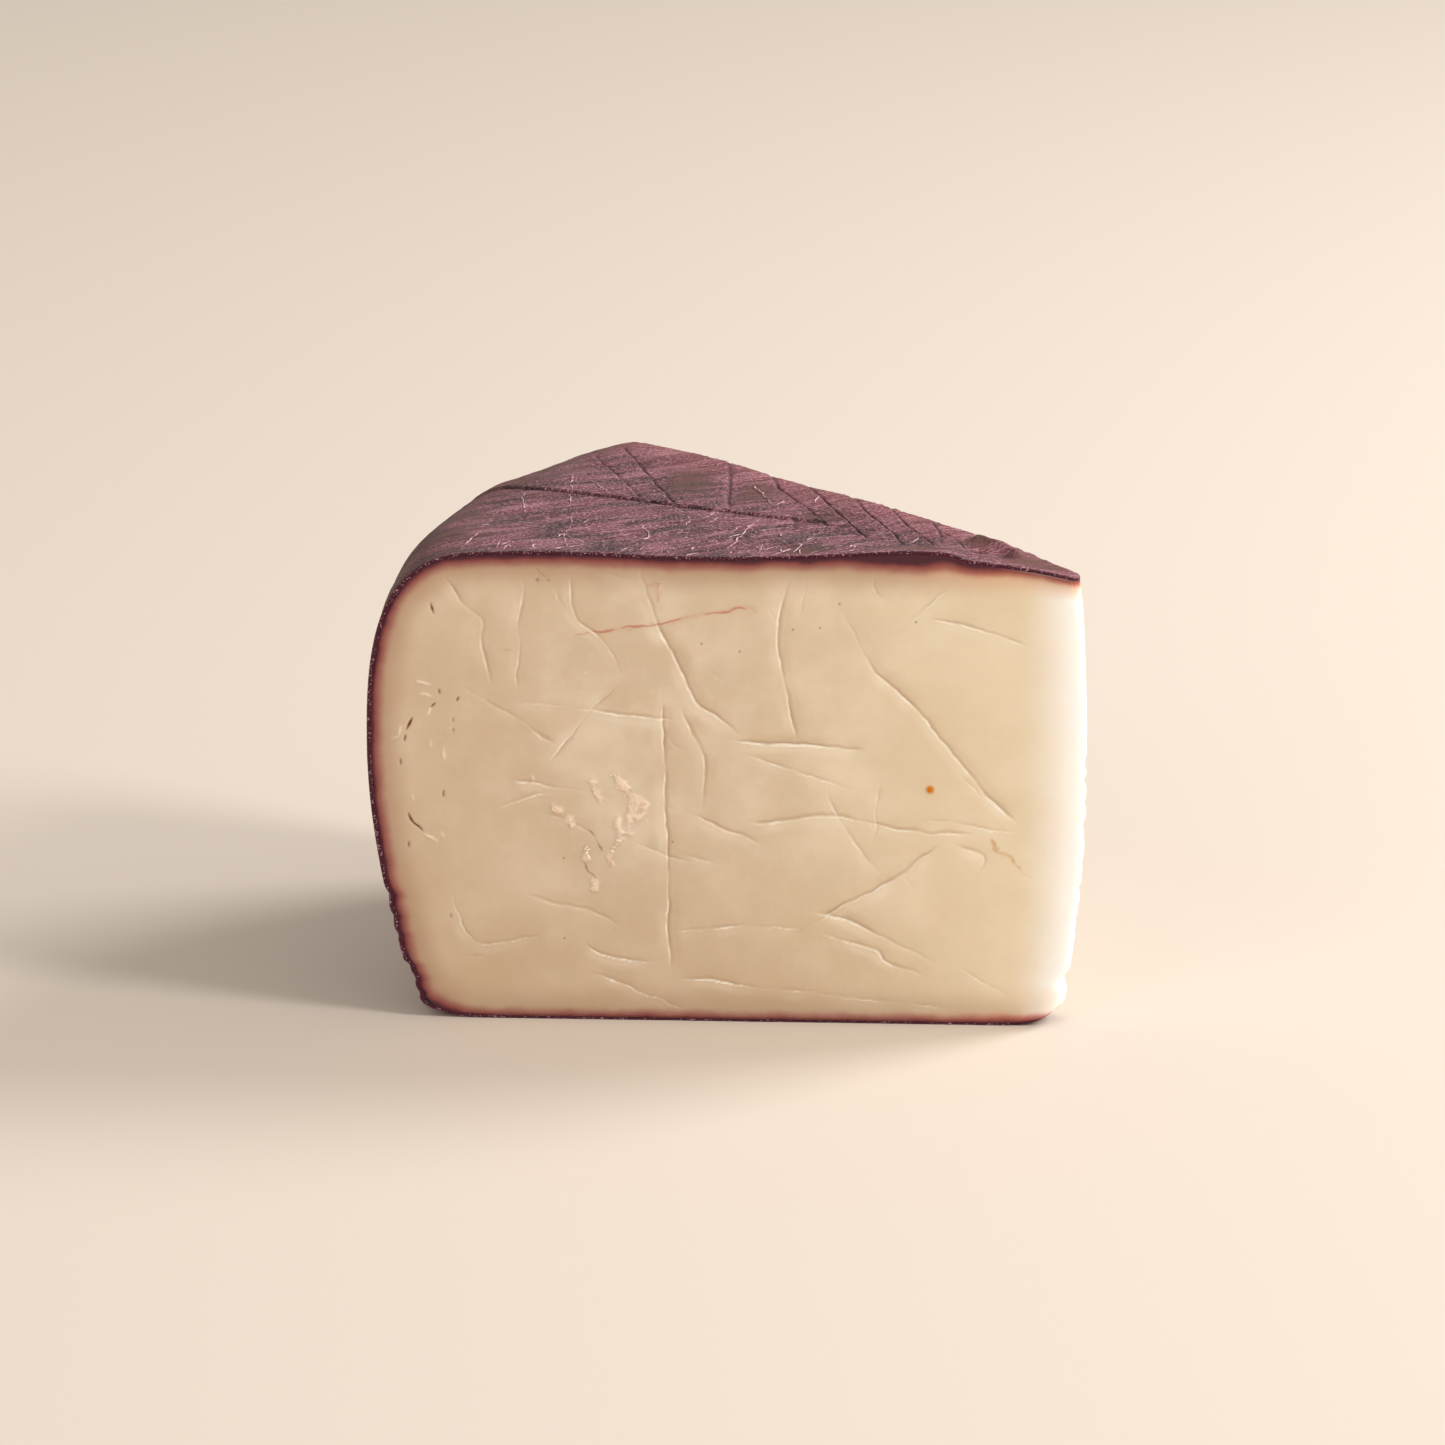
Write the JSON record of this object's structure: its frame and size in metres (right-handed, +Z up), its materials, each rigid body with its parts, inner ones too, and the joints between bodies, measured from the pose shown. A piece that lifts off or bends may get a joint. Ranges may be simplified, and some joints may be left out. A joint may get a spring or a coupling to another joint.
{
  "type": "wine-soaked goat cheese wedge",
  "caption": "Wedge cut from a small wheel of pale goat cheese: two flat cut faces, a curved side and a folded dark purple wine rind, standing on its flat underside.",
  "frame": {"origin": "middle of the bounding box, on the surface that the wedge stands on", "axes": "+Z up; the long cut face looks along -Y; +X runs along that face from the rind to the thin end"},
  "size_m": [0.0966, 0.0702, 0.0661],
  "materials": {
    "cheese": "ivory goat cheese paste with a thin dark purple wine-stained rind"
  },
  "bodies": {
    "root": {"cheese_wedge": "cheese"}
  },
  "joints": []
}
